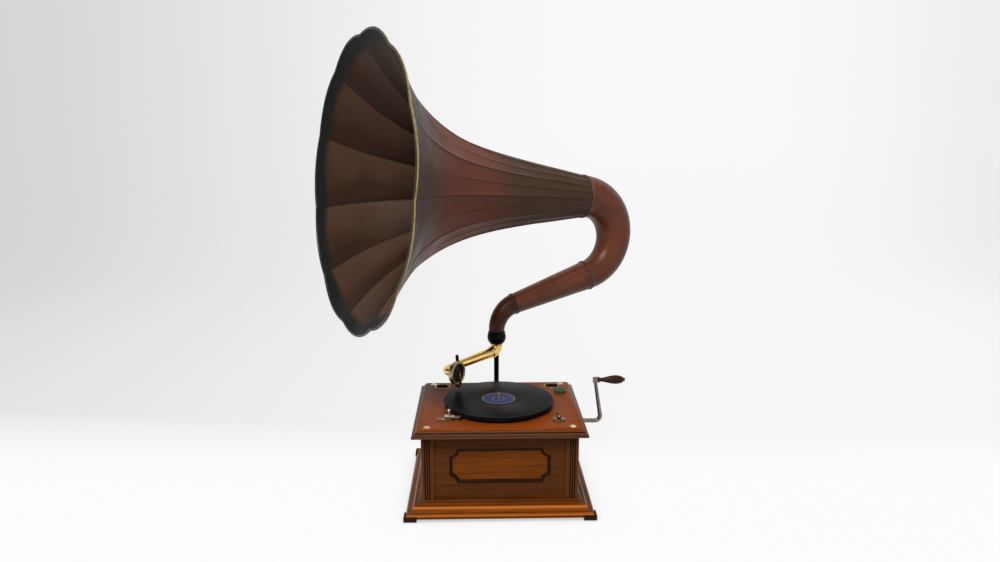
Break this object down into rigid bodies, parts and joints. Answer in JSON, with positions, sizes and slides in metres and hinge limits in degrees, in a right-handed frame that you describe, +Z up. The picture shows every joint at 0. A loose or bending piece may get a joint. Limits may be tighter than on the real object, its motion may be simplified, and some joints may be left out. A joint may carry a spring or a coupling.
{
  "type": "horn gramophone",
  "caption": "Table gramophone with a moulded oak cabinet, hand-wound spring motor, turntable, swinging tone arm with a soundbox, and a petalled sheet-metal horn on a swan neck.",
  "frame": {"origin": "on the table, under the middle of the cabinet, in the plane of the four feet", "axes": "+X to the crank side, +Y to the back where the horn bracket is, +Z up along the spindle"},
  "size_m": [0.8144, 0.65, 1.0258],
  "materials": {
    "oak": "satin varnish",
    "oak_light": "satin varnish",
    "oak_deck": "satin varnish",
    "brass": "polished",
    "nickel": "polished nickel",
    "steel": "bright",
    "iron": "painted",
    "black_enamel": "gloss black",
    "horn_lacquer": "satin brown lacquer",
    "green_felt": "felt",
    "shellac": "grooved black",
    "label_paper": "printed paper, left plain",
    "dark_wood": "dark polish",
    "mica": "thin sheet"
  },
  "bodies": {
    "cabinet": {"feet": "oak", "base_board": "oak", "plinth_moulding": "oak", "corner_posts": "oak", "front_panel": "oak", "back_panel": "oak", "side_panels": "oak", "front_tablet": "oak_light", "tablet_moulding": "oak", "motor_board": "oak_deck", "top_moulding": "oak", "deck_screws": "brass", "needle_cup_left": "nickel", "needle_cup_right": "nickel", "soundbox_rest": "green_felt", "crank_escutcheon": "brass", "horn_bracket": "black_enamel", "bracket_screws": "brass", "brake_base": "nickel", "speed_dial": "nickel", "motor_plate_top": "iron", "motor_plate_bottom": "iron", "motor_pillars": "steel", "governor_cocks": "steel"},
    "turntable": {"spindle": "steel", "governor_wheel": "brass", "platter": "iron", "turntable_felt": "green_felt", "record": "shellac", "record_label": "label_paper"},
    "barrel": {"spring_barrel": "brass", "barrel_lid": "brass", "mainspring": "steel"},
    "winding": {"winding_arbor": "steel"},
    "intermediate": {"intermediate_wheel": "brass"},
    "governor": {"governor_shaft": "steel", "governor_weights": "brass", "governor_springs": "steel", "governor_disc": "brass"},
    "regulator": {"speed_pointer": "nickel"},
    "friction": {"friction_lever": "steel"},
    "brake": {"brake_lever": "nickel"},
    "crank": {"crank": "nickel"},
    "handle": {"crank_handle": "dark_wood"},
    "tonearm": {"tonearm_elbow": "brass", "tonearm_tube": "brass"},
    "soundbox": {"crook": "brass", "finger_lift": "black_enamel", "soundbox_case": "nickel", "soundbox_ring": "nickel", "diaphragm": "mica", "stylus_bar": "nickel", "needle": "steel"},
    "horn": {"horn_bell": "horn_lacquer", "horn_rim": "brass", "horn_elbow": "horn_lacquer", "horn_pipe": "horn_lacquer", "horn_neck": "horn_lacquer", "horn_collars": "horn_lacquer"}
  },
  "joints": [
    {"name": "turntable_spin", "type": "hinge", "parent": "cabinet", "child": "turntable", "pos_m": [0, -0.004, 0.2], "axis": [0, 0, 1], "continuous": true},
    {"name": "barrel_turn", "type": "hinge", "parent": "cabinet", "child": "barrel", "pos_m": [0.085, 0, 0.118], "axis": [0, 0, 1], "continuous": true},
    {"name": "intermediate_turn", "type": "hinge", "parent": "cabinet", "child": "intermediate", "pos_m": [0.03286, 0.01406, 0.14], "axis": [0, 0, 1], "continuous": true},
    {"name": "governor_spin", "type": "hinge", "parent": "cabinet", "child": "governor", "pos_m": [0, -0.06, 0.135], "axis": [0, 1, 0], "continuous": true},
    {"name": "crank_turn", "type": "hinge", "parent": "cabinet", "child": "crank", "pos_m": [0.2, 0, 0.153], "axis": [1, 0, 0], "continuous": true},
    {"name": "winding_turn", "type": "hinge", "parent": "cabinet", "child": "winding", "pos_m": [0.085, 0, 0.14], "axis": [0, 0, 1], "continuous": true},
    {"name": "handle_spin", "type": "hinge", "parent": "crank", "child": "handle", "pos_m": [0.25, 0, 0.251], "axis": [1, 0, 0], "continuous": true},
    {"name": "tonearm_swing", "type": "hinge", "parent": "cabinet", "child": "tonearm", "pos_m": [0, 0.184, 0.3], "axis": [0, 0, 1], "range_deg": [-35, 27]},
    {"name": "soundbox_lift", "type": "hinge", "parent": "tonearm", "child": "soundbox", "pos_m": [-0.12849, 0.08069, 0.24963], "axis": [-0.774, -0.6223, -0.1167], "range_deg": [0, 100]},
    {"name": "horn_swivel", "type": "hinge", "parent": "cabinet", "child": "horn", "pos_m": [0, 0.184, 0.325], "axis": [0, 0, 1], "continuous": true},
    {"name": "brake_turn", "type": "hinge", "parent": "cabinet", "child": "brake", "pos_m": [-0.10848, -0.09748, 0.2], "axis": [0, 0, 1], "range_deg": [-15, 7.3]},
    {"name": "speed_turn", "type": "hinge", "parent": "cabinet", "child": "regulator", "pos_m": [0.129, -0.103, 0.19], "axis": [0, 0, 1], "range_deg": [-30, 30]},
    {"name": "friction_shift", "type": "hinge", "parent": "cabinet", "child": "friction", "pos_m": [0.064, -0.1124, 0.135], "axis": [0, 0, 1], "range_deg": [-0.7, 0.7]}
  ],
  "couplings": [
    {"joint": "barrel_turn", "follows": "turntable_spin", "ratio": 0.05},
    {"joint": "intermediate_turn", "follows": "turntable_spin", "ratio": -0.25},
    {"joint": "governor_spin", "follows": "turntable_spin", "ratio": 6},
    {"joint": "winding_turn", "follows": "crank_turn", "ratio": 0.5},
    {"joint": "friction_shift", "follows": "speed_turn", "ratio": 0.022}
  ]
}
